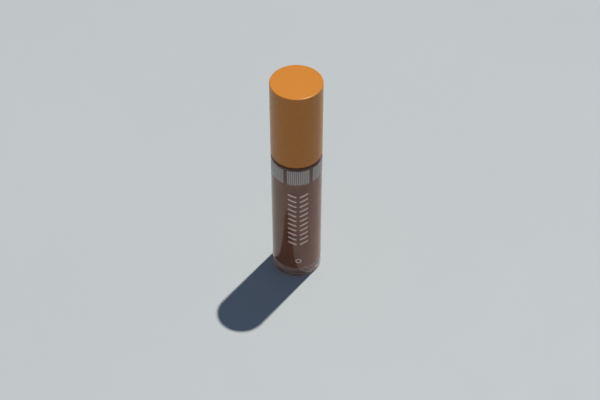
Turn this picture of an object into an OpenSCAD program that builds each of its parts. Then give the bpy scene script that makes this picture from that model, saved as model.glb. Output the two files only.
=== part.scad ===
// Round lip gloss tube: a thick clear bottle and a tall plain screw cap that carries the wand.
// Millimetres. +Z up, origin at the centre of the base.

/* [Tube] */
// Diameter of the bottle and of the cap
tube_d = 18; // [17.5:0.5:20]
// Height of the closed tube
total_h = 87; // [82:1:95]
// Height of the cap's outer shell
cap_h = 31; // [29:1:34]
// Open line between the bottle's shoulder and the cap's lip
lip_gap = 0.4; // [0.3:0.1:0.8]

/* [Bottle] */
// Thickness of the clear side wall
wall_t = 2.7; // [2.2:0.1:3]
// Thickness of the clear base
base_t = 2.8; // [2:0.1:4]
// Round between the bottle's side and its shoulder
shoulder_round = 1; // [0.6:0.1:1.4]
// Round between the bottle's side and its base
foot_round = 0.5; // [0.3:0.1:0.8]
// Depth of the shallow dish under the base
dish_depth = 0.4; // [0.2:0.1:0.6]
// Air left between the gloss and the shoulder
headspace = 3.2; // [2:0.2:6]

/* [Neck and thread] */
// Height of the neck above the shoulder
neck_h = 11; // [10:0.5:12]
// Outer diameter of the neck between its thread ridges
neck_d = 12.2; // [12:0.1:12.4]
// Diameter of the neck's bore
bore_d = 9.4; // [9:0.1:9.6]
// Rise of the thread in one turn
thread_pitch = 2.5; // [2.3:0.1:2.7]
// How far a thread ridge stands out from its wall
ridge_h = 0.8; // [0.6:0.05:0.8]
// Turns of ridge on the neck and in the cap
ridge_turns = 1.5; // [1.25:0.25:1.5]

/* [Wand] */
// Diameter of the stem, which the wiper closes round
stem_d = 4.2; // [3.6:0.1:4.2]
// Length of the flocked applicator
flock_l = 14.6; // [12:0.2:18]
// Depth of the flock on its core
flock_t = 0.5; // [0.4:0.05:0.6]
// Angle between the applicator's slanted face and its axis
slant = 14; // [11:1:18]
// Space between the applicator's tip and the bottle's floor
tip_gap = 2.8; // [2:0.2:5]

/* [Cap] */
// Wall thickness of the outer shell
shell_t = 0.9; // [0.8:0.05:1]
// Thickness of the shell's top
shell_top_t = 1.3; // [1:0.1:2]
// Round of the shell's top edge
top_round = 0.45; // [0.3:0.05:0.8]
// Round of the shell's lip
lip_round = 0.3; // [0.1:0.05:0.4]
// Number of ribs inside the shell
rib_count = 6; // [4:1:8]

/* [Fits] */
// Radial clearance of a piece that slides or turns in another
running = 0.06; // [0.03:0.01:0.1]
// Gap between pieces that stay together
seat = 0.03; // [0.02:0.01:0.05]

/* [Hidden] */
$fn = 96;
// Longer than the whole tube, for cuts that run right through
far = 120;
// Overlap that keeps a cut or a joint between two outlines clean
little = 0.01;
// Small rounds and chamfers of moulded edges
edge = 0.15;
chamfer = 0.4;

tube_r = tube_d / 2;
seam_z = total_h - cap_h;
shoulder_z = seam_z - lip_gap;
dish_r = tube_r - 2.4;

// Neck
neck_r = neck_d / 2;
bore_r = bore_d / 2;
land_z = shoulder_z + neck_h;
land_round = 0.3;

// Inside of the bottle: a straight cavity that narrows to the bore at its throat
cavity_r = tube_r - wall_t;
cavity_round = 1.2;
cavity_top = shoulder_z - 3;
throat_z = shoulder_z - 1.4;
fill_z = shoulder_z - headspace;

// The wiper is a sleeve with a flange on the neck's land and a funnel that ends in a thin lip.
wiper_r = bore_r - seat;
bead_h = 0.18;
bead_round = 0.5;
bead_count = 3;
sleeve_r = wiper_r - bead_h;
sleeve_hole_r = sleeve_r - 0.55;
sleeve_l = 7.6;
sleeve_z = land_z - sleeve_l;
wiper_flange_r = neck_r - 0.3;
wiper_flange_t = 0.8;
wiper_top = land_z + seat + wiper_flange_t;
stem_r = stem_d / 2;
lip_r = stem_r + running;
lip_t = 0.45;
lip_l = 0.5;
lip_z = sleeve_z - 1.9;

// The washer lies on the wiper's flange, and the stem's flange closes on it.
washer_r = neck_r - 0.4;
washer_hole_r = 3.6;
washer_t = 1;
washer_z = wiper_top + seat;

// The stem's spigot snaps through the liner's socket and can turn in it.
stem_flange_r = 5.6;
stem_flange_t = 1.2;
stem_flange_z = washer_z + washer_t + seat;
plug_r = washer_hole_r - 0.2;
plug_z = stem_flange_z - 2.4;
plug_taper = 2;
spigot_r = 2.6;
snap_r = 2.95;
snap_h = 1.4;

// The applicator is pushed into the stem's end by a round pin.
tip_z = base_t + tip_gap;
stem_end_z = tip_z + flock_l;
applicator_r = stem_r - 0.02;
pin_r = 1;
pin_l = 5;
// Height at which the slanted face crosses the applicator's axis
slant_z = tip_z + 1.6;

// The liner is the threaded inner cap. The shell is glued over it.
liner_r = tube_r - shell_t - seat;
liner_z = seam_z + 0.8;
thread_clear = 0.25;
liner_bore_r = neck_r + ridge_h + thread_clear;
ceiling_z = stem_flange_z + stem_flange_t + running;
liner_top = ceiling_z + 1.2;
socket_r = 4.1;
socket_top = ceiling_z + 6.6;

// Inside of the shell
shell_r = tube_r - shell_t;
shell_ceiling = total_h - shell_top_t;
shell_fillet = 0.5;
rib_t = 0.8;
rib_depth = 1.6;

// Section of a thread ridge, and the angles over which it fades and steps
ridge_base = 1;
ridge_crest = 0.5;
ridge_root = 0.25;
ridge_fade = 50;
least_fade = 0.04;
ridge_step = 10;
neck_ridge_z = shoulder_z + 4;
liner_ridge_z = neck_ridge_z - thread_pitch / 2;

// Half outline of a turned disc, with its two outer edges rounded
module disc_outline(r, z0, z1, low_round, high_round) {
    middle = (z0 + z1) / 2;
    translate([0, z0]) square([r - low_round, middle - z0]);
    translate([0, middle]) square([r - high_round, z1 - middle]);
    translate([0, z0 + low_round]) square([r, z1 - z0 - low_round - high_round]);
    if (low_round > 0) translate([r - low_round, z0 + low_round]) circle(low_round);
    if (high_round > 0) translate([r - high_round, z1 - high_round]) circle(high_round);
}

// Half outline of a straight cone or cylinder
module cone_outline(z0, r0, z1, r1) {
    polygon([[0, z0], [r0, z0], [r1, z1], [0, z1]]);
}

// Height of a ridge along its helix, as a share: it grows from its start and dies away at its end.
function fade_at(angle, end) =
    max(least_fade, min(1, angle / ridge_fade, (end - angle) / ridge_fade));

// Four corners of a ridge's section, which stands out from root_r towards crest_r
function ridge_section(root_r, crest_r, z, share) =
    let (side = sign(crest_r - root_r),
         foot = root_r - side * ridge_root,
         crest = root_r + (crest_r - root_r) * share,
         corners = [[foot, z - ridge_base / 2], [crest, z - ridge_crest / 2],
                    [crest, z + ridge_crest / 2], [foot, z + ridge_base / 2]])
    side > 0 ? corners : [for (i = [3:-1:0]) corners[i]];

// One ridge of a right-hand thread, to be fused with the wall at root_r
module thread_ridge(root_r, crest_r, z0) {
    end = 360 * ridge_turns;
    rings = end / ridge_step;
    points = [for (i = [0:rings])
                  let (angle = i * ridge_step, z = z0 + thread_pitch * angle / 360)
                  for (c = ridge_section(root_r, crest_r, z, fade_at(angle, end)))
                      [c.x * cos(angle), c.x * sin(angle), c.y]];
    sides = [for (i = [0:rings - 1], j = [0:3])
                 let (a = 4 * i + j, b = 4 * i + (j + 1) % 4)
                 each [[a, b, b + 4], [a, b + 4, a + 4]]];
    last = 4 * rings;
    ends = [[3, 2, 1], [3, 1, 0], [last, last + 1, last + 2], [last, last + 2, last + 3]];
    polyhedron(points, concat(sides, ends));
}

// Inside of the bottle up to a level, kept a gap away from its walls
module cavity_outline(gap, level) {
    intersection() {
        union() {
            disc_outline(cavity_r - gap, base_t + gap, cavity_top, cavity_round, 0);
            cone_outline(cavity_top - little, cavity_r - gap, throat_z, bore_r - gap);
        }
        square([far, level]);
    }
}

module bottle() {
    color("#6f5d59")
    union() {
        rotate_extrude() difference() {
            union() {
                disc_outline(tube_r, 0, shoulder_z, foot_round, shoulder_round);
                disc_outline(neck_r, cavity_top, land_z, 0, land_round);
            }
            cavity_outline(0, far);
            translate([0, throat_z - little]) square([bore_r, far]);
            cone_outline(-little, dish_r, dish_depth, dish_r - 2 * dish_depth);
        }
        thread_ridge(neck_r, neck_r + ridge_h, neck_ridge_z);
    }
}

module gloss_fill() {
    channel_r = stem_r + running;
    color("#5c4640")
    rotate_extrude() difference() {
        cavity_outline(seat, fill_z);
        // The wand has pushed the gloss aside, down to its round tip.
        translate([0, tip_z + stem_r]) square([channel_r, far]);
        translate([0, tip_z + stem_r]) circle(channel_r);
    }
}

module wiper() {
    color("#f1efe9")
    rotate_extrude() difference() {
        union() {
            disc_outline(wiper_flange_r, land_z + seat, wiper_top, edge, edge);
            cone_outline(sleeve_z, sleeve_r, wiper_top - edge, sleeve_r);
            for (i = [0:bead_count - 1])
                translate([wiper_r - bead_round, sleeve_z + (i + 0.5) * sleeve_l / bead_count])
                    circle(bead_round);
            cone_outline(lip_z, lip_r + lip_t, sleeve_z, sleeve_r);
            cone_outline(lip_z - lip_l, lip_r + lip_t, lip_z, lip_r + lip_t);
        }
        translate([0, sleeve_z]) square([sleeve_hole_r, far]);
        cone_outline(lip_z, lip_r, sleeve_z + little, sleeve_hole_r);
        square([lip_r, sleeve_z]);
        cone_outline(wiper_top - chamfer, sleeve_hole_r, wiper_top + little, sleeve_hole_r + chamfer);
    }
}

module seal_washer() {
    color("#d9d6cf")
    rotate_extrude() difference() {
        disc_outline(washer_r, washer_z, washer_z + washer_t, edge, edge);
        square([washer_hole_r, far]);
    }
}

module stem() {
    flange_top = stem_flange_z + stem_flange_t;
    snap_z = socket_top + seat;
    color("#e9e6df")
    rotate_extrude() difference() {
        union() {
            disc_outline(stem_r, stem_end_z, stem_flange_z, edge, 0);
            cone_outline(plug_z - plug_taper, stem_r, plug_z, plug_r);
            cone_outline(plug_z, plug_r, stem_flange_z, plug_r);
            disc_outline(stem_flange_r, stem_flange_z, flange_top, edge, edge);
            cone_outline(flange_top, spigot_r, snap_z, spigot_r);
            cone_outline(snap_z, snap_r, snap_z + snap_h, spigot_r - chamfer);
        }
        translate([0, stem_end_z - little]) square([pin_r + seat, pin_l + seat]);
    }
}

// Slender foot with a slanted face on its +X side, set in by inset: the flock's shape and its core's
module foot_solid(r, tip, top, inset) {
    intersection() {
        rotate_extrude() intersection() {
            union() {
                translate([0, tip + r]) square([r, top - tip - r]);
                translate([0, tip + r]) circle(r);
            }
            square([far, far]);
        }
        translate([-inset / cos(slant), 0, slant_z]) rotate([0, slant, 0])
            translate([-far, -far / 2, -far]) cube([far, far, far * 2]);
    }
}

module core_solid() {
    foot_solid(applicator_r - flock_t, tip_z + flock_t, stem_end_z - seat, flock_t);
}

module applicator_core() {
    color("#cfc9c0")
    union() {
        core_solid();
        translate([0, 0, stem_end_z - 1]) cylinder(r = pin_r, h = pin_l + 1);
    }
}

module applicator_flock() {
    color("#8a6c62")
    difference() {
        foot_solid(applicator_r, tip_z, stem_end_z - chamfer, 0);
        core_solid();
    }
}

module cap_liner() {
    color("#e4e1da")
    union() {
        rotate_extrude() difference() {
            union() {
                disc_outline(liner_r, liner_z, liner_top, edge, edge);
                disc_outline(socket_r, ceiling_z, socket_top, 0, edge);
            }
            square([liner_bore_r, ceiling_z]);
            square([spigot_r + running, far]);
            cone_outline(liner_z - little, liner_bore_r + chamfer, liner_z + chamfer, liner_bore_r);
        }
        thread_ridge(liner_bore_r, liner_bore_r - ridge_h, liner_ridge_z);
    }
}

module cap_shell() {
    rib_z = liner_top + seat;
    color("#c8812f")
    union() {
        rotate_extrude() difference() {
            disc_outline(tube_r, seam_z, total_h, lip_round, top_round);
            disc_outline(shell_r, 0, shell_ceiling, 0, shell_fillet);
        }
        for (i = [0:rib_count - 1])
            rotate([0, 0, i * 360 / rib_count])
                translate([shell_r - rib_depth, -rib_t / 2, rib_z])
                    cube([rib_depth + shell_t / 2, rib_t, shell_ceiling + shell_top_t / 2 - rib_z]);
    }
}

bottle();
gloss_fill();
wiper();
seal_washer();
stem();
applicator_core();
applicator_flock();
cap_liner();
cap_shell();
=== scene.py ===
import math
import random

import bmesh
import bpy
from mathutils import Matrix, Vector, noise


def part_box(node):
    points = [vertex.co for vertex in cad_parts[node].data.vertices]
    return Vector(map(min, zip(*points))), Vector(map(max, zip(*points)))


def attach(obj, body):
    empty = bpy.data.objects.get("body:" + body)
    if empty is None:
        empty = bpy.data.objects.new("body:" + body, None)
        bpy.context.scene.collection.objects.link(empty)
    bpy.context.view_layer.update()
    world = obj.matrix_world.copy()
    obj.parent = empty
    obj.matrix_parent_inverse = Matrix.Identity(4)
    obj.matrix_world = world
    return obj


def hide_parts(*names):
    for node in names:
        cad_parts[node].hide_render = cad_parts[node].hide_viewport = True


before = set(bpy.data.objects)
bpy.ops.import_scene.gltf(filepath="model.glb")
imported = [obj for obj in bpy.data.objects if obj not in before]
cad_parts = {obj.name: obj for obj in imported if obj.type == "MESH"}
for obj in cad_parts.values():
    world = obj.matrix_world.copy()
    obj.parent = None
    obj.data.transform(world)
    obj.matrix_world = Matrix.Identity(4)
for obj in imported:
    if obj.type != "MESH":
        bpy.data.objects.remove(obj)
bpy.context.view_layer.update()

MM = 0.001

# ---------------------------------------------------------------- sizes, from the frame
_, bottle_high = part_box("bottle")
shell_low, shell_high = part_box("cap_shell")
liner_low, liner_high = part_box("cap_liner")
gloss_low, gloss_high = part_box("gloss_fill")
wiper_low, wiper_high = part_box("wiper")
washer_low, washer_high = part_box("seal_washer")
stem_low, stem_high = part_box("stem")
flock_low, flock_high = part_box("applicator_flock")

# The tube's own radius, and the heights of the cap's lip, the cap's top and the neck's top
TUBE_R = shell_high.x
SEAM = shell_low.z
TOP = shell_high.z
LAND = bottle_high.z
LIP_GAP = 0.4 * MM
SHOULDER = SEAM - LIP_GAP

# Gaps between pieces that sit on each other, and between pieces that move past each other
SEAT = 0.03 * MM
RUNNING = 0.06 * MM

# Bottle
CAVITY_R = gloss_high.x + SEAT
FLOOR_Z = gloss_low.z - SEAT
FILL_Z = gloss_high.z
CAVITY_TOP = SHOULDER - 3 * MM
THROAT = SHOULDER - 1.4 * MM
NECK_R = 6.1 * MM
BORE_R = 4.7 * MM
FOOT_W = 2.4 * MM
DISH = 0.4 * MM
FOOT_ROUND = 0.5 * MM
SHOULDER_ROUND = 1.0 * MM
CAVITY_ROUND = 1.2 * MM
THROAT_ROUND = 0.6 * MM

# Wiper
SLEEVE_L = 7.6 * MM
SLEEVE_T = 0.55 * MM
LIP_T = 0.45 * MM
LIP_L = 0.5 * MM
BEADS = 3
BEAD = 0.18 * MM

# Wand
STEM_R = 2.1 * MM
PLUG_R = 3.4 * MM
PLUG_L = 2.4 * MM
PLUG_CONE = 2 * MM
FLANGE_Z = washer_high.z + SEAT
FLANGE_T = 1.2 * MM
SPIGOT_R = 2.6 * MM
BARB_R = 2.95 * MM
BARB_END_R = 2.2 * MM

# Cap
LINER_BORE_R = 7.15 * MM
LINER_LEAD = 0.4 * MM
LINER_CEILING = FLANGE_Z + FLANGE_T + RUNNING
WEB_TOP = LINER_CEILING + 1.2 * MM
SOCKET_R = 4.1 * MM
SHELL_R = TUBE_R - 0.9 * MM
SHELL_CEILING = TOP - 1.3 * MM
TOP_ROUND = 0.45 * MM
LIP_ROUND = 0.3 * MM
RIBS = 6
RIB_T = 0.8 * MM
RIB_DEPTH = 1.6 * MM
RIB_ROOT = 0.4 * MM
RIB_GAP = 0.11 * MM

# Screw thread
THREAD_PITCH = 2.5 * MM
THREAD_TURNS = 1.5
RIDGE_H = 0.8 * MM
RIDGE_BASE = 1.0 * MM
RIDGE_CREST = 0.5 * MM
RIDGE_ROOT = 0.25 * MM
RIDGE_ROUND = 0.12 * MM
RIDGE_SUNK = 0.05
RIDGE_FADE = math.radians(50)
NECK_RIDGE_Z = SHOULDER + 4 * MM
LINER_RIDGE_Z = NECK_RIDGE_Z - THREAD_PITCH / 2

# Printing, which stands on the bottle inside the tube's own radius
INK_T = 0.015 * MM
CLEAR_R = TUBE_R - INK_T
INK_ROOT_R = CLEAR_R - INK_T

ROUND_SEGMENTS = 192
SHELL_SEGMENTS = 256


# ---------------------------------------------------------------- camera
CAMERA_BACK = 0.32505
CAMERA_UP = 0.36425
CAMERA_DOWN = math.radians(45.67)
CAMERA_TURN = math.radians(-0.2126)


def make_camera():
    """A camera above and in front of the tube, a little under half a metre away."""
    data = bpy.data.cameras.new("camera")
    data.lens = 77.77
    data.sensor_width = 36
    data.clip_start = 0.01
    camera = bpy.data.objects.new("camera", data)
    camera.location = (0, -CAMERA_BACK, CAMERA_UP)
    camera.rotation_euler = (math.pi / 2 - CAMERA_DOWN, 0, CAMERA_TURN)
    bpy.context.scene.collection.objects.link(camera)
    bpy.context.scene.camera = camera


# ---------------------------------------------------------------- material helpers
class Nodes:
    """A new material's node tree, with short ways to add and link nodes."""

    def __init__(self, name):
        self.material = bpy.data.materials.new(name)
        self.material.use_nodes = True
        self.tree = self.material.node_tree
        self.tree.nodes.clear()
        self.output = self.add("ShaderNodeOutputMaterial")
        self.place = self.add("ShaderNodeTexCoord").outputs["Object"]

    def add(self, kind, **settings):
        node = self.tree.nodes.new(kind)
        for key, value in settings.items():
            setattr(node, key, value)
        return node

    def link(self, source, target):
        self.tree.links.new(source, target)

    def feed(self, target, value):
        """Gives an input a plain value, or links an output to it."""
        if isinstance(value, bpy.types.NodeSocket):
            self.link(value, target)
        else:
            target.default_value = value

    def noise(self, scale, detail=4.0, roughness=0.5, stretch=None):
        node = self.add("ShaderNodeTexNoise")
        node.inputs["Scale"].default_value = scale
        node.inputs["Detail"].default_value = detail
        node.inputs["Roughness"].default_value = roughness
        self.link(self.stretched(stretch), node.inputs["Vector"])
        return node.outputs["Fac"]

    def stretched(self, stretch):
        if stretch is None:
            return self.place
        mapping = self.add("ShaderNodeMapping")
        mapping.inputs["Scale"].default_value = stretch
        self.link(self.place, mapping.inputs["Vector"])
        return mapping.outputs["Vector"]

    def ramp(self, value, low, high, out_low=0.0, out_high=1.0, smooth=False):
        node = self.add("ShaderNodeMapRange", clamp=True)
        node.interpolation_type = "SMOOTHSTEP" if smooth else "LINEAR"
        self.link(value, node.inputs["Value"])
        node.inputs["From Min"].default_value = low
        node.inputs["From Max"].default_value = high
        node.inputs["To Min"].default_value = out_low
        node.inputs["To Max"].default_value = out_high
        return node.outputs["Result"]

    def maths(self, operation, a, b=0.0):
        node = self.add("ShaderNodeMath", operation=operation)
        self.feed(node.inputs[0], a)
        self.feed(node.inputs[1], b)
        return node.outputs["Value"]

    def mix(self, share, a, b):
        node = self.add("ShaderNodeMix", data_type="RGBA")
        self.feed(node.inputs["Factor"], share)
        self.feed(node.inputs["A"], a)
        self.feed(node.inputs["B"], b)
        return node.outputs["Result"]

    def height(self):
        separate = self.add("ShaderNodeSeparateXYZ")
        self.link(self.place, separate.inputs["Vector"])
        return separate.outputs["Z"]

    def bump(self, height, distance, strength=1.0):
        node = self.add("ShaderNodeBump")
        node.inputs["Strength"].default_value = strength
        node.inputs["Distance"].default_value = distance
        self.link(height, node.inputs["Height"])
        return node.outputs["Normal"]

    def principled(self, colour, roughness, normal=None, **sockets):
        node = self.add("ShaderNodeBsdfPrincipled")
        self.feed(node.inputs["Base Color"], colour)
        self.feed(node.inputs["Roughness"], roughness)
        if normal is not None:
            self.link(normal, node.inputs["Normal"])
        for key, value in sockets.items():
            node.inputs[key.replace("_", " ")].default_value = value
        return node.outputs["BSDF"]

    def finish(self, shader):
        self.link(shader, self.output.inputs["Surface"])
        return self.material


def rgb(red, green, blue):
    return (red, green, blue, 1.0)


# ---------------------------------------------------------------- materials
def clear_plastic():
    """Polished thick plastic with faint moulding waves and handling marks, stippled underneath.

    A lamp reaches what the bottle holds where it meets the wall squarely. Nearer the edge the real wall
    bends the light into the gloss, so there the plastic blocks it.
    """
    n = Nodes("clear_plastic")
    smudge = n.noise(160, detail=6, roughness=0.6)
    stipple = n.ramp(n.height(), DISH - 0.02 * MM, DISH + 0.06 * MM, 0.45, 0.0)
    roughness = n.maths("MAXIMUM", n.ramp(smudge, 0.45, 0.75, 0.015, 0.06), stipple)
    waves = n.noise(90, detail=1, stretch=(1, 1, 0.25))
    normal = n.bump(waves, 0.02 * MM, 0.5)
    plastic = n.principled(rgb(0.95, 0.94, 0.93), roughness, normal,
                           IOR=1.57, Transmission_Weight=1.0)
    clear = n.add("ShaderNodeBsdfTransparent")
    clear.inputs["Color"].default_value = rgb(0.86, 0.85, 0.84)
    facing = n.add("ShaderNodeLayerWeight")
    facing.inputs["Blend"].default_value = 0.5
    square_on = n.ramp(facing.outputs["Facing"], 0.68, 0.74, 1.0, 0.0)
    above_foot = n.ramp(n.height(), 1.0 * MM, 2.5 * MM)
    path = n.add("ShaderNodeLightPath")
    mixer = n.add("ShaderNodeMixShader")
    lit = n.maths("MULTIPLY", square_on, above_foot)
    n.link(n.maths("MULTIPLY", path.outputs["Is Shadow Ray"], lit), mixer.inputs["Fac"])
    n.link(plastic, mixer.inputs[1])
    n.link(clear.outputs["BSDF"], mixer.inputs[2])
    return n.finish(mixer.outputs["Shader"])


def gloss():
    """Creamy mauve brown gloss with soft streaks of pigment."""
    n = Nodes("gloss")
    streaks = n.noise(220, detail=5, roughness=0.55, stretch=(1, 1, 0.18))
    clouds = n.noise(70, detail=3)
    share = n.maths("MULTIPLY", streaks, clouds)
    colour = n.mix(n.ramp(share, 0.12, 0.4), rgb(0.358, 0.139, 0.064), rgb(0.414, 0.171, 0.085))
    roughness = n.ramp(clouds, 0.3, 0.7, 0.18, 0.3)
    normal = n.bump(n.noise(400, detail=3), 0.03 * MM, 0.35)
    return n.finish(n.principled(colour, roughness, normal, IOR=1.45, Specular_IOR_Level=0.08,
                                 Subsurface_Weight=0.15, Subsurface_Scale=0.6 * MM))


def cap_lacquer():
    """Satin orange lacquer: a faint orange peel, tiny flecks, and patches that handling has polished."""
    n = Nodes("cap_lacquer")
    clouds = n.noise(55, detail=3)
    flecks = n.noise(5200, detail=2, roughness=0.4)
    tone = n.mix(n.ramp(clouds, 0.3, 0.7), rgb(0.526, 0.191, 0.024), rgb(0.540, 0.198, 0.026))
    colour = n.mix(n.ramp(flecks, 0.62, 0.75, 0.0, 0.25), tone, rgb(0.58, 0.26, 0.05))
    rub = n.noise(240, detail=7, roughness=0.65)
    roughness = n.ramp(rub, 0.35, 0.75, 0.25, 0.31)
    peel = n.noise(1900, detail=2, roughness=0.4)
    normal = n.bump(peel, 0.006 * MM, 0.35)
    return n.finish(n.principled(colour, roughness, normal, IOR=1.5, Specular_IOR_Level=0.3))


def ink(name, thin, full):
    """Screen-printed ink: a fine grain between its tone where it lies thin and its full tone."""
    n = Nodes(name)
    grain = n.noise(2600, detail=3, roughness=0.6)
    colour = n.mix(n.ramp(grain, 0.35, 0.62), thin, full)
    normal = n.bump(grain, 0.004 * MM, 0.5)
    return n.finish(n.principled(colour, 0.38, normal, IOR=1.48))


def moulded(name, light, dark, roughness, peel_scale=1500, **sockets):
    """Plain moulded plastic: a slow change of tone, a fine skin, and a little shine where it was polished."""
    n = Nodes(name)
    clouds = n.noise(130, detail=4, roughness=0.6)
    colour = n.mix(n.ramp(clouds, 0.3, 0.7), dark, light)
    skin = n.noise(peel_scale, detail=3, roughness=0.55)
    shine = n.ramp(n.noise(420, detail=4), 0.3, 0.7, roughness - 0.06, roughness + 0.06)
    normal = n.bump(skin, 0.01 * MM, 0.4)
    return n.finish(n.principled(colour, shine, normal, **sockets))


def wet_stem():
    """Natural plastic rod with the film of gloss that the wiper leaves, thicker towards the applicator."""
    n = Nodes("stem_plastic")
    level = n.ramp(n.height(), stem_low.z + 4 * MM, wiper_low.z, 1.0, 0.0, smooth=True)
    streaks = n.noise(1300, detail=5, roughness=0.6, stretch=(1, 1, 0.05))
    patches = n.noise(260, detail=3, stretch=(1, 1, 0.3))
    streaky = n.ramp(streaks, 0.35, 0.65, 0.55, 1.0)
    patchy = n.ramp(patches, 0.35, 0.65, 0.15, 0.75)
    film = n.maths("MULTIPLY", level, n.maths("MULTIPLY", streaky, patchy))
    colour = n.mix(film, rgb(0.70, 0.67, 0.61), rgb(0.36, 0.17, 0.11))
    normal = n.bump(streaks, 0.015 * MM, 0.3)
    roughness = n.ramp(film, 0.0, 0.5, 0.32, 0.2)
    return n.finish(n.principled(colour, roughness, normal, IOR=1.49,
                                 Subsurface_Weight=0.1, Subsurface_Scale=0.5 * MM))


def wet_flock():
    """Short nylon fibres soaked with gloss, paler in patches where less of it clings."""
    n = Nodes("flock")
    clumps = n.noise(900, detail=4, roughness=0.6)
    colour = n.mix(n.ramp(clumps, 0.4, 0.7), rgb(0.27, 0.11, 0.065), rgb(0.46, 0.25, 0.18))
    roughness = n.ramp(clumps, 0.35, 0.7, 0.25, 0.6)
    return n.finish(n.principled(colour, roughness, n.bump(clumps, 0.05 * MM, 0.6),
                                 Sheen_Weight=0.25))


def foam():
    """Closed-cell foam of the washer."""
    n = Nodes("seal_foam")
    cells = n.add("ShaderNodeTexVoronoi")
    cells.inputs["Scale"].default_value = 6500
    n.link(n.place, cells.inputs["Vector"])
    shade = n.ramp(cells.outputs["Distance"], 0.0, 0.6)
    colour = n.mix(shade, rgb(0.62, 0.60, 0.56), rgb(0.78, 0.76, 0.72))
    return n.finish(n.principled(colour, 0.75, n.bump(shade, 0.02 * MM, 0.6)))


def floor_paint():
    """Plain pale surface with a barely visible change of tone."""
    n = Nodes("floor_paint")
    clouds = n.noise(9, detail=4, roughness=0.5)
    colour = n.mix(n.ramp(clouds, 0.3, 0.7), rgb(0.416, 0.441, 0.446), rgb(0.424, 0.449, 0.454))
    roughness = n.ramp(n.noise(60, detail=3), 0.3, 0.7, 0.5, 0.6)
    return n.finish(n.principled(colour, roughness, Specular_IOR_Level=0.15))


# ---------------------------------------------------------------- mesh helpers
ON_AXIS = 0.0001 * MM


def rounded(corners, steps=6, closed=False):
    """Outline through (radius, height, round) corners, where a round above zero becomes an arc."""
    outline = []
    count = len(corners)
    for i, (r, z, size) in enumerate(corners):
        here = Vector((r, z))
        end = not closed and i in (0, count - 1)
        if size <= 0 or end:
            outline.append(here)
            continue
        before = (Vector(corners[i - 1][:2]) - here).normalized()
        after = (Vector(corners[(i + 1) % count][:2]) - here).normalized()
        half = before.angle(after) / 2
        reach = size / math.tan(half)
        centre = here + (before + after).normalized() * (size / math.sin(half))
        start = here + before * reach - centre
        turn = start.angle_signed(here + after * reach - centre)
        for k in range(steps + 1):
            step = start.copy()
            step.rotate(Matrix.Rotation(-turn * k / steps, 2))
            outline.append(centre + step)
    return outline


def turned(name, outline, material, closed=False, segments=ROUND_SEGMENTS):
    """A solid of revolution about Z."""
    bm = bmesh.new()
    rings = []
    for point in outline:
        if point.x < ON_AXIS:
            rings.append([bm.verts.new((0, 0, point.y))])
            continue
        ring = []
        for k in range(segments):
            angle = 2 * math.pi * k / segments
            ring.append(bm.verts.new((point.x * math.cos(angle), point.x * math.sin(angle), point.y)))
        rings.append(ring)
    following = rings[1:] + rings[:1] if closed else rings[1:]
    for a, b in zip(rings, following):
        for k in range(segments):
            m = (k + 1) % segments
            corners = [a[k % len(a)], a[m % len(a)], b[m % len(b)], b[k % len(b)]]
            bm.faces.new(list(dict.fromkeys(corners)))
    bmesh.ops.recalc_face_normals(bm, faces=bm.faces)
    return finished(name, bm, material)


def finished(name, bm, material):
    """Makes a smooth-shaded object of a bmesh, which it frees."""
    mesh = bpy.data.meshes.new(name)
    bm.to_mesh(mesh)
    bm.free()
    mesh.materials.append(material)
    obj = bpy.data.objects.new(name, mesh)
    bpy.context.scene.collection.objects.link(obj)
    return shaded(obj)


def shaded(obj, sharp=math.radians(35)):
    """Smooth shading in which broad faces keep their own normals and sharp edges stay sharp."""
    obj.data.shade_smooth()
    obj.data.set_sharp_from_angle(angle=sharp)
    weighted = obj.modifiers.new("weighted normals", "WEIGHTED_NORMAL")
    weighted.keep_sharp = True
    return obj


def loft(bm, sections, closed=False):
    """Faces between neighbouring sections, which are rings of vertices, and over the two ends."""
    following = sections[1:] + sections[:1] if closed else sections[1:]
    for a, b in zip(sections, following):
        for k in range(len(a)):
            m = (k + 1) % len(a)
            bm.faces.new((a[k], a[m], b[m], b[k]))
    if not closed:
        bm.faces.new(sections[0])
        bm.faces.new(sections[-1][::-1])
    bmesh.ops.recalc_face_normals(bm, faces=bm.faces)


def fused(obj, other):
    """Makes one solid of two closed pieces that overlap, and keeps the first piece's name."""
    obj.modifiers.clear()
    other.modifiers.clear()
    join = obj.modifiers.new("join", "BOOLEAN")
    join.operation = "UNION"
    join.solver = "EXACT"
    join.object = other
    joined = bpy.data.meshes.new_from_object(obj.evaluated_get(bpy.context.evaluated_depsgraph_get()))
    obj.modifiers.clear()
    obj.data = joined
    bpy.data.objects.remove(other)
    return shaded(obj)


def stands_for(obj, body, slot, *nodes):
    """Puts a piece on its body, in place of CAD nodes. The slot argument is not used."""
    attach(obj, body)
    if nodes:
        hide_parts(*nodes)
    return obj


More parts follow.
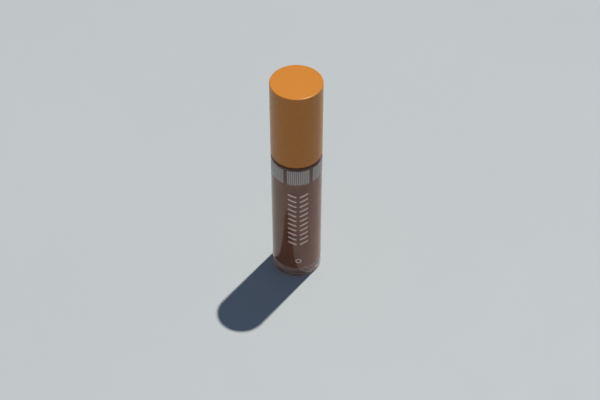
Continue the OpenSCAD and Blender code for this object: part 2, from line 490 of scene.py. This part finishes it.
def thread_ridge(root_r, crest_r, start_z, material):
    """A helical ridge that grows out of the wall at root_r and dies away into it, as a solid of its own.

    Its sections lie half a step away from the wall's, so that the two meshes fuse without slivers.
    """
    end = 2 * math.pi * THREAD_TURNS
    count = round(ROUND_SEGMENTS * THREAD_TURNS)
    foot_r = root_r - math.copysign(RIDGE_ROOT, crest_r - root_r)
    bm = bmesh.new()
    sections = []
    for i in range(count):
        angle = end * (i + 0.5) / count
        fade = min(1, angle / RIDGE_FADE, (end - angle) / RIDGE_FADE)
        share = fade * fade * (3 - 2 * fade)
        crest = root_r + (crest_r - root_r) * (share - RIDGE_SUNK * (1 - share))
        z = start_z + THREAD_PITCH * angle / (2 * math.pi)
        section = rounded([
            (foot_r, z - RIDGE_BASE / 2, 0),
            (crest, z - RIDGE_CREST / 2, RIDGE_ROUND),
            (crest, z + RIDGE_CREST / 2, RIDGE_ROUND),
            (foot_r, z + RIDGE_BASE / 2, 0),
        ], steps=4)
        sections.append([bm.verts.new((p.x * math.cos(angle), p.x * math.sin(angle), p.y)) for p in section])
    loft(bm, sections)
    return finished("ridge", bm, material)


# ---------------------------------------------------------------- turned pieces
def make_bottle(material):
    """Thick wall and base, a dish underneath, the shoulder, and the neck with its thread."""
    dish_r = TUBE_R - FOOT_W
    outline = rounded([
        (0, DISH, 0),
        (dish_r - 2 * DISH, DISH, 0.3 * MM),
        (dish_r, 0, 0.2 * MM),
        (CLEAR_R, 0, FOOT_ROUND),
        (CLEAR_R, SHOULDER, SHOULDER_ROUND),
        (NECK_R, SHOULDER, 0.25 * MM),
        (NECK_R, LAND, 0.3 * MM),
        (BORE_R, LAND, 0.15 * MM),
        (BORE_R, THROAT, THROAT_ROUND),
        (CAVITY_R, CAVITY_TOP, THROAT_ROUND),
        (CAVITY_R, FLOOR_Z, CAVITY_ROUND),
        (0, FLOOR_Z, 0),
    ])
    ridge = thread_ridge(NECK_R, NECK_R + RIDGE_H, NECK_RIDGE_Z, material)
    body = fused(turned("bottle_body", outline, material), ridge)
    return stands_for(body, "bottle", "clear_plastic", "bottle")


def make_product(material):
    """The gloss wets the wall: its outside lies just inside the plastic, and a film climbs to the throat."""
    wet = 0.03 * MM
    film = 0.35 * MM
    meniscus = 0.6 * MM
    channel = STEM_R + RUNNING
    bottom = flock_low.z - RUNNING
    outline = rounded([
        (0, FLOOR_Z - wet, 0),
        (CAVITY_R + wet, FLOOR_Z - wet, CAVITY_ROUND + wet),
        (CAVITY_R + wet, CAVITY_TOP, THROAT_ROUND),
        (BORE_R + 0.5 * MM, THROAT - 0.3 * MM, 0.05 * MM),
        (CAVITY_R - film, CAVITY_TOP - film, 0.5 * MM),
        (CAVITY_R - film, FILL_Z, meniscus),
        (channel + 0.7 * MM, FILL_Z, meniscus),
        (channel, FILL_Z + meniscus, 0.05 * MM),
        (channel, bottom, channel * 0.9),
        (0, bottom, 0),
    ])
    return stands_for(turned("product", outline, material), "bottle", "gloss", "gloss_fill")


def make_wiper(material):
    """A flanged sleeve with beads that seal it in the neck, and a funnel with a lip round the stem."""
    flange_r = wiper_high.x
    top = wiper_high.z
    sleeve_r = BORE_R - BEAD - SEAT
    hole_r = sleeve_r - SLEEVE_T
    lip_r = STEM_R + RUNNING
    sleeve_z = LAND - SLEEVE_L
    lip_z = wiper_low.z
    beads = []
    for k in range(BEADS):
        z = sleeve_z + (k + 0.5) * SLEEVE_L / BEADS
        beads.append((sleeve_r, z - 2 * BEAD, 0.1 * MM))
        beads.append((sleeve_r + BEAD, z, 0.2 * MM))
        beads.append((sleeve_r, z + 2 * BEAD, 0.1 * MM))
    outline = rounded([
        (lip_r, lip_z, 0.1 * MM),
        (lip_r + LIP_T, lip_z, 0.15 * MM),
        (lip_r + LIP_T, lip_z + LIP_L, 0.2 * MM),
        (sleeve_r, sleeve_z, 0.4 * MM),
        *beads,
        (sleeve_r, LAND + SEAT, 0.05 * MM),
        (flange_r, LAND + SEAT, 0.15 * MM),
        (flange_r, top, 0.2 * MM),
        (hole_r, top, 0.4 * MM),
        (hole_r, sleeve_z + 0.1 * MM, 0.5 * MM),
        (lip_r, lip_z + LIP_L, 0.2 * MM),
    ], closed=True)
    sleeve = turned("wiper_sleeve", outline, material, closed=True)
    return stands_for(sleeve, "bottle", "wiper_plastic", "wiper")


def make_washer(material):
    """The flat ring between the wiper's flange and the stem's."""
    hole_r = PLUG_R + 0.2 * MM
    outline = rounded([
        (hole_r, washer_low.z, 0.15 * MM),
        (washer_high.x, washer_low.z, 0.2 * MM),
        (washer_high.x, washer_high.z, 0.2 * MM),
        (hole_r, washer_high.z, 0.15 * MM),
    ], closed=True)
    ring = turned("sealing_ring", outline, material, closed=True)
    return stands_for(ring, "seal", "seal_foam", "seal_washer")


def make_stem(material):
    """The rod, its plug and flange, and the spigot that snaps through the liner's socket."""
    flange_top = FLANGE_Z + FLANGE_T
    barb_z = liner_high.z + SEAT
    outline = rounded([
        (0, stem_low.z, 0),
        (STEM_R, stem_low.z, 0.3 * MM),
        (STEM_R, FLANGE_Z - PLUG_L - PLUG_CONE, 1.0 * MM),
        (PLUG_R, FLANGE_Z - PLUG_L, 0.5 * MM),
        (PLUG_R, FLANGE_Z, 0.1 * MM),
        (stem_high.x, FLANGE_Z, 0.15 * MM),
        (stem_high.x, flange_top, 0.15 * MM),
        (SPIGOT_R, flange_top, 0.1 * MM),
        (SPIGOT_R, barb_z, 0.05 * MM),
        (BARB_R, barb_z, 0.1 * MM),
        (BARB_END_R, stem_high.z, 0.2 * MM),
        (0, stem_high.z, 0),
    ])
    return stands_for(turned("wand_stem", outline, material), "wand", "stem_plastic", "stem")


def make_liner(material):
    """The inner cap: a threaded skirt, a web above the stem's flange, and the stem's socket on the web."""
    hole_r = SPIGOT_R + RUNNING
    low = liner_low.z
    outline = rounded([
        (LINER_BORE_R, low + LINER_LEAD, 0.1 * MM),
        (LINER_BORE_R + LINER_LEAD, low, 0.15 * MM),
        (liner_high.x, low, 0.2 * MM),
        (liner_high.x, WEB_TOP, 0.3 * MM),
        (SOCKET_R, WEB_TOP, 0.4 * MM),
        (SOCKET_R, liner_high.z, 0.2 * MM),
        (hole_r, liner_high.z, 0.15 * MM),
        (hole_r, LINER_CEILING, 0.15 * MM),
        (LINER_BORE_R, LINER_CEILING, 0.4 * MM),
    ], closed=True)
    ridge = thread_ridge(LINER_BORE_R, LINER_BORE_R - RIDGE_H, LINER_RIDGE_Z, material)
    inner = fused(turned("cap_inner", outline, material, closed=True), ridge)
    return stands_for(inner, "cap", "liner_plastic", "cap_liner")


def make_shell(material):
    """The lacquered outer cap, with ribs inside its wall above the liner's web."""
    outline = rounded([
        (0, SHELL_CEILING, 0),
        (SHELL_R, SHELL_CEILING, 0.5 * MM),
        (SHELL_R, SEAM, 0.2 * MM),
        (TUBE_R, SEAM, LIP_ROUND),
        (TUBE_R, TOP, TOP_ROUND),
        (0, TOP, 0),
    ])
    shell = turned("cap_outer", outline, material, segments=SHELL_SEGMENTS)
    ribs = shell_ribs(WEB_TOP + RIB_GAP, SHELL_CEILING + RIB_ROOT, material)
    return stands_for(fused(shell, ribs), "cap", "cap_lacquer", "cap_shell")


def shell_ribs(low, high, material):
    """Flat ribs that are rooted in the shell's wall and ceiling."""
    bm = bmesh.new()
    for k in range(RIBS):
        angle = 2 * math.pi * k / RIBS
        out = Vector((math.cos(angle), math.sin(angle), 0))
        side = Vector((-out.y, out.x, 0)) * RIB_T / 2
        inner = out * (SHELL_R - RIB_DEPTH)
        outer = out * (SHELL_R + RIB_ROOT)
        plan = [inner + side, inner - side, outer - side, outer + side]
        loft(bm, [[bm.verts.new((p.x, p.y, z)) for p in plan] for z in (low, high)])
    return finished("ribs", bm, material)


# ---------------------------------------------------------------- applicator
SLANT = math.radians(14)
SLANT_Z = flock_low.z + 1.6 * MM
APPLICATOR_R = flock_high.y
FIBRES = 20000
FIBRE_MIN = 0.12 * MM
FIBRE_MAX = 0.24 * MM
FIBRE_R_MIN = 0.011 * MM
FIBRE_R_MAX = 0.017 * MM
FIBRE_LEAN = 0.4
LUMP = 0.9 * MM
LUMP_H = 0.09 * MM


def slanted_face(z):
    """How far the applicator's slanted face lies towards +X at a height."""
    return (z - SLANT_Z) * math.tan(SLANT)


def cut_circle(r, cut, count):
    """Points round a circle that is cut off at x = cut, spread evenly as seen from the middle of the rest."""
    cut = min(cut, r)
    middle = (cut - r) / 2
    points = []
    for k in range(count):
        angle = 2 * math.pi * k / count
        reach = math.sqrt(r * r - (middle * math.sin(angle)) ** 2) - middle * math.cos(angle)
        if math.cos(angle) > 0:
            reach = min(reach, (cut - middle) / math.cos(angle))
        points.append((middle + reach * math.cos(angle), reach * math.sin(angle)))
    return points


def flock_base(bm, rings=72, around=72):
    """The mat that the fibres stand on: a rod with a round tip and a slanted face, pressed into lumps."""
    r = APPLICATOR_R - FIBRE_MAX
    low = flock_low.z + FIBRE_MAX
    first = low + 0.1 * MM  # lower down, the slanted face leaves nothing of the tip
    sections = []
    for i in range(rings + 1):
        z = first + (flock_high.z - first) * (i / rings) ** 1.3
        ring_r = math.sqrt(r * r - (low + r - z) ** 2) if z < low + r else r
        face = slanted_face(z) - FIBRE_MAX / math.cos(SLANT)
        sections.append([bm.verts.new((x, y, z)) for x, y in cut_circle(ring_r, face, around)])
    loft(bm, sections)
    bm.normal_update()
    for vert in list(bm.verts)[around:-around]:
        share = min(1, (vert.co.z - first) / LUMP)
        vert.co += vert.normal * noise.noise(vert.co / LUMP) * LUMP_H * share
    bm.normal_update()


def make_flock(material, seed=7):
    """A soaked sleeve of short fibres, standing close together on their mat."""
    rng = random.Random(seed)
    bm = bmesh.new()
    flock_base(bm)
    sides = [face for face in bm.faces if len(face.verts) == 4]
    areas = [face.calc_area() for face in sides]
    chosen = rng.choices(sides, weights=areas, k=FIBRES)
    spots = [(face.normal.copy(), [vert.co.copy() for vert in face.verts]) for face in chosen]
    for normal, (a, b, c, d) in spots:
        along = rng.random()
        up = rng.random()
        add_fibre(bm, rng, a.lerp(b, along).lerp(d.lerp(c, along), up), normal)
    fibres = finished("applicator_fibres", bm, material)
    return stands_for(fibres, "wand", "flock", "applicator_flock")


def add_fibre(bm, rng, root, normal):
    """One fibre: a thin three-sided spike that leans a little and stays inside the applicator's outline."""
    lean = Vector([rng.gauss(0, FIBRE_LEAN) for _ in range(3)])
    along = (normal + lean).normalized()
    tip = root + along * rng.uniform(FIBRE_MIN, FIBRE_MAX)
    shrink = min(1, APPLICATOR_R / math.hypot(tip.x, tip.y))
    tip.z = min(max(tip.z, flock_low.z), flock_high.z)
    tip.x = min(tip.x * shrink, max(root.x, slanted_face(tip.z)))
    tip.y *= shrink
    across = along.orthogonal().normalized()
    other = along.cross(across)
    r = rng.uniform(FIBRE_R_MIN, FIBRE_R_MAX)
    base = []
    for k in range(3):
        angle = 2 * math.pi * k / 3
        base.append(bm.verts.new(root + (across * math.cos(angle) + other * math.sin(angle) - along) * r))
    point = bm.verts.new(tip)
    for k in range(3):
        bm.faces.new((base[k], base[(k + 1) % 3], point))
    bm.faces.new(base[::-1])


# ---------------------------------------------------------------- printing
# Distances across are measured round the bottle from its front. The band and the motif are placed by their
# distance below the shoulder, and the small ring by its height.
FRONT = -math.pi / 2
BAND_TOP = 1.2 * MM
BAND_END = 7.8 * MM
BAND_GROUPS = 6
BARS = 12
BAR_W = 0.45 * MM
GROUP_GAP = math.radians(8.5) * TUBE_R
GROUP_MIDDLE = math.radians(3.9) * TUBE_R

MOTIF_TOP = 12.4 * MM
MOTIF_END = 38.2 * MM
MOTIF_MIDDLE = 0.5 * MM
MOTIF_ROWS = 11
MOTIF_WAY = 0.85 * MM
MOTIF_EDGE = 3.4 * MM
MOTIF_SLOPE = 0.4
MOTIF_W = 0.66 * MM

MARK_MIDDLE = 0.6 * MM
MARK_Z = 8.6 * MM
MARK_R = 0.95 * MM
MARK_W = 0.38 * MM


def on_bottle(across, z, r):
    """Point on the bottle's side: across is the distance round from the front, z the height."""
    angle = FRONT + across / TUBE_R
    return Vector((r * math.cos(angle), r * math.sin(angle), z))


def ink_section(bm, left, right):
    """Four corners of the ink's section between two (across, height) points on the bottle's side."""
    return [bm.verts.new(on_bottle(u, z, r))
            for (u, z), r in ((left, TUBE_R), (right, TUBE_R), (right, INK_ROOT_R), (left, INK_ROOT_R))]


def stroke(bm, start, end, width, step=0.5 * MM, round_steps=5):
    """A straight stroke of ink with round ends between two (across, height) points, wrapped on the bottle."""
    a, b = Vector(start), Vector(end)
    length = (b - a).length
    along = (b - a) / length
    across = Vector((-along.y, along.x))
    r = width / 2
    turns = [math.pi / 2 * (k + 1) / round_steps for k in range(round_steps)]
    pieces = math.ceil(length / step)
    places = [(-r * math.cos(t), r * math.sin(t)) for t in turns]
    places += [(length * k / pieces, r) for k in range(1, pieces)]
    places += [(length + r * math.cos(t), r * math.sin(t)) for t in reversed(turns)]
    sections = []
    for distance, half in places:
        middle = a + along * distance
        sections.append(ink_section(bm, middle + across * half, middle - across * half))
    loft(bm, sections)


def ring_shape(bm, centre, r, width, steps=48):
    """A ring of ink on the bottle's side, round a centre (across, height)."""
    sections = []
    for k in range(steps):
        angle = 2 * math.pi * k / steps
        out = Vector((math.cos(angle), math.sin(angle)))
        sections.append(ink_section(bm, centre + out * (r + width / 2), centre + out * (r - width / 2)))
    loft(bm, sections, closed=True)


def printed(name, bm, material):
    """Makes a piece of ink on the bottle of a bmesh."""
    return stands_for(finished(name, bm, material), "bottle", "ink")


def make_band(material):
    """Groups of equal upright bars in a band round the bottle, just under its shoulder."""
    bm = bmesh.new()
    period = 2 * math.pi * TUBE_R / BAND_GROUPS
    pitch = (period - GROUP_GAP) / BARS
    first = GROUP_MIDDLE - (BARS - 1) * pitch / 2
    low = SHOULDER - BAND_END + BAR_W / 2
    high = SHOULDER - BAND_TOP - BAR_W / 2
    for group in range(BAND_GROUPS):
        for bar in range(BARS):
            across = first + group * period + bar * pitch
            stroke(bm, (across, low), (across, high), BAR_W)
    return printed("print_band", bm, material)


def make_motif(material):
    """A herringbone column: equal slanting strokes in two files with a narrow way between them."""
    bm = bmesh.new()
    rise = (MOTIF_EDGE - MOTIF_WAY) * MOTIF_SLOPE
    pitch = (MOTIF_END - MOTIF_TOP - MOTIF_W - rise) / (MOTIF_ROWS - 1)
    for row in range(MOTIF_ROWS):
        z = SHOULDER - MOTIF_END + MOTIF_W / 2 + row * pitch
        for side in (-1, 1):
            start = (MOTIF_MIDDLE + side * MOTIF_WAY, z)
            end = (MOTIF_MIDDLE + side * MOTIF_EDGE, z + rise)
            stroke(bm, start, end, MOTIF_W)
    return printed("print_motif", bm, material)


def make_ring_mark(material):
    """A small ring near the foot."""
    bm = bmesh.new()
    ring_shape(bm, Vector((MARK_MIDDLE, MARK_Z)), MARK_R, MARK_W)
    return printed("print_ring", bm, material)


# ---------------------------------------------------------------- stage
FLOOR_R = 6.0
KEY_TOWARDS = Vector((20.0, 26.2, 86.9))

# Where the room's tone changes, from 0 at the horizon to 1 overhead
LOW_WALL = 0.1
HIGH_WALL = 0.4


def make_floor(material):
    """A wide disc under the tube."""
    bm = bmesh.new()
    bmesh.ops.create_circle(bm, cap_ends=True, segments=96, radius=FLOOR_R)
    mesh = bpy.data.meshes.new("floor")
    bm.to_mesh(mesh)
    bm.free()
    mesh.materials.append(material)
    floor = bpy.data.objects.new("floor", mesh)
    bpy.context.scene.collection.objects.link(floor)


def make_lights():
    """A high sun from behind on the right, and a dim cool room that is paler towards the floor."""
    data = bpy.data.lights.new("key", "SUN")
    data.energy = 3.84
    data.angle = math.radians(0.9)
    data.color = (1.0, 0.971, 0.916)
    key = bpy.data.objects.new("key", data)
    key.rotation_mode = "QUATERNION"
    key.rotation_quaternion = KEY_TOWARDS.to_track_quat("Z", "Y")
    bpy.context.scene.collection.objects.link(key)

    world = bpy.data.worlds.new("room")
    world.use_nodes = True
    tree = world.node_tree
    place = tree.nodes.new("ShaderNodeTexCoord")
    split = tree.nodes.new("ShaderNodeSeparateXYZ")
    ramp = tree.nodes.new("ShaderNodeValToRGB")
    horizon, high_wall = ramp.color_ramp.elements
    horizon.position = 0.0
    horizon.color = rgb(0.53, 0.555, 0.56)
    high_wall.position = HIGH_WALL
    high_wall.color = rgb(0.105, 0.15, 0.23)
    ramp.color_ramp.elements.new(LOW_WALL).color = rgb(0.285, 0.295, 0.33)
    tree.links.new(place.outputs["Generated"], split.inputs["Vector"])
    tree.links.new(split.outputs["Z"], ramp.inputs["Fac"])
    tree.links.new(ramp.outputs["Color"], tree.nodes["Background"].inputs["Color"])
    bpy.context.scene.world = world
    bpy.context.scene.view_settings.view_transform = "Standard"


# ---------------------------------------------------------------- the whole scene
make_camera()
make_lights()
make_floor(floor_paint())

make_bottle(clear_plastic())
make_product(gloss())
make_wiper(moulded("wiper_plastic", rgb(0.82, 0.81, 0.77), rgb(0.76, 0.75, 0.70), 0.42))
make_washer(foam())
make_stem(wet_stem())
make_liner(moulded("liner_plastic", rgb(0.74, 0.72, 0.68), rgb(0.69, 0.67, 0.62), 0.4))
make_shell(cap_lacquer())
make_flock(wet_flock())
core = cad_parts["applicator_core"]
core.data.materials.clear()
core.data.materials.append(moulded("applicator_plastic", rgb(0.62, 0.58, 0.53), rgb(0.56, 0.52, 0.47), 0.5))

grey_ink = ink("grey_ink", rgb(0.455, 0.395, 0.362), rgb(0.55, 0.485, 0.448))
white_ink = ink("white_ink", rgb(0.81, 0.565, 0.47), rgb(0.87, 0.635, 0.54))
make_band(grey_ink)
make_motif(white_ink)
make_ring_mark(white_ink)
